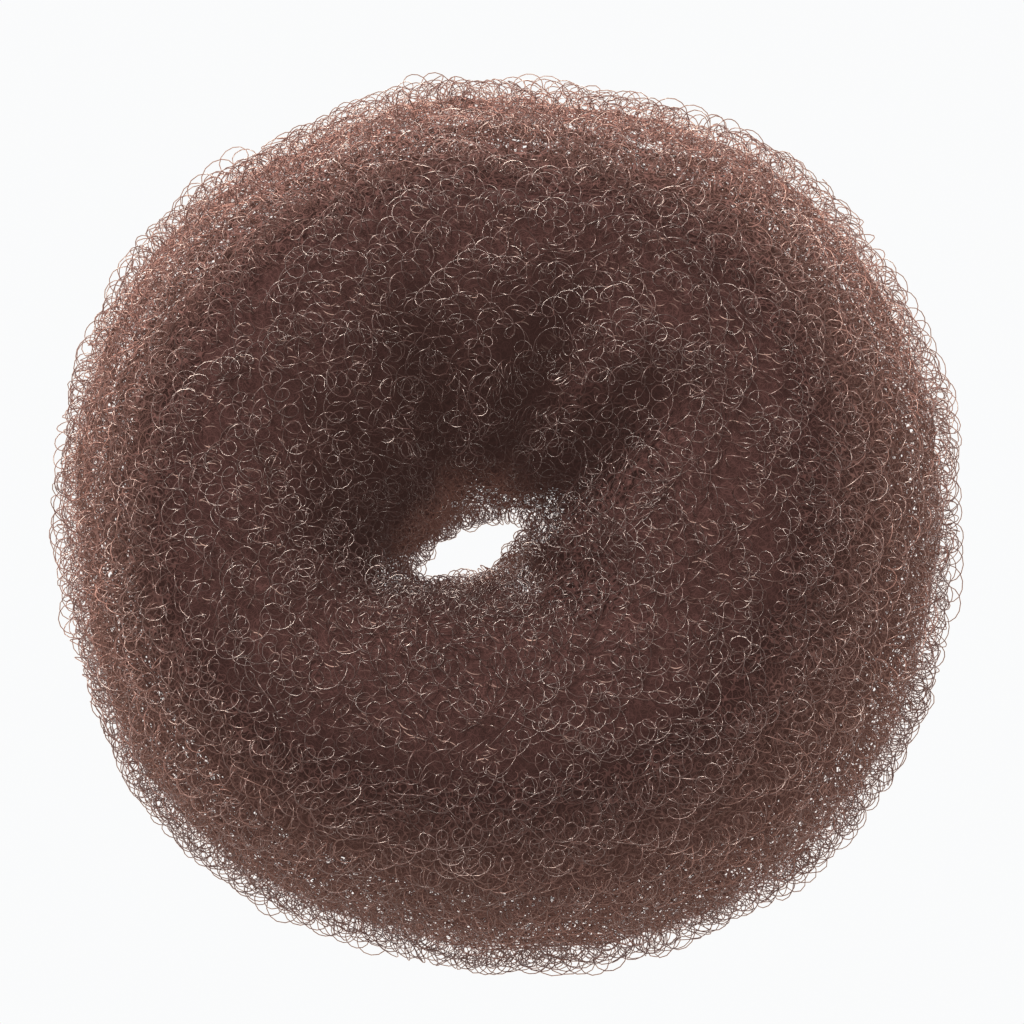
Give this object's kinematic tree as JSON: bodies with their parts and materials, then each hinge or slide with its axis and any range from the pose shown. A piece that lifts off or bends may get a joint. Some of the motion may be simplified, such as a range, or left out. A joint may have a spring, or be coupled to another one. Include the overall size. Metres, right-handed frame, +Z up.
{
  "type": "hair donut bun maker",
  "caption": "Springy ring of curled-nylon net, rolled on itself, that pads a hair bun wound round it.",
  "frame": {"origin": "middle of the ring's footprint, on the surface it lies on", "axes": "+Z up through the hole, +X along the ring's length, near the hole's long side, and +Y along its width"},
  "size_m": [0.09, 0.0902, 0.0381],
  "materials": {
    "curled_nylon": "semi-translucent brown nylon filament, curled and knitted"
  },
  "bodies": {
    "root": {"rolled_net": "curled_nylon"}
  },
  "joints": []
}
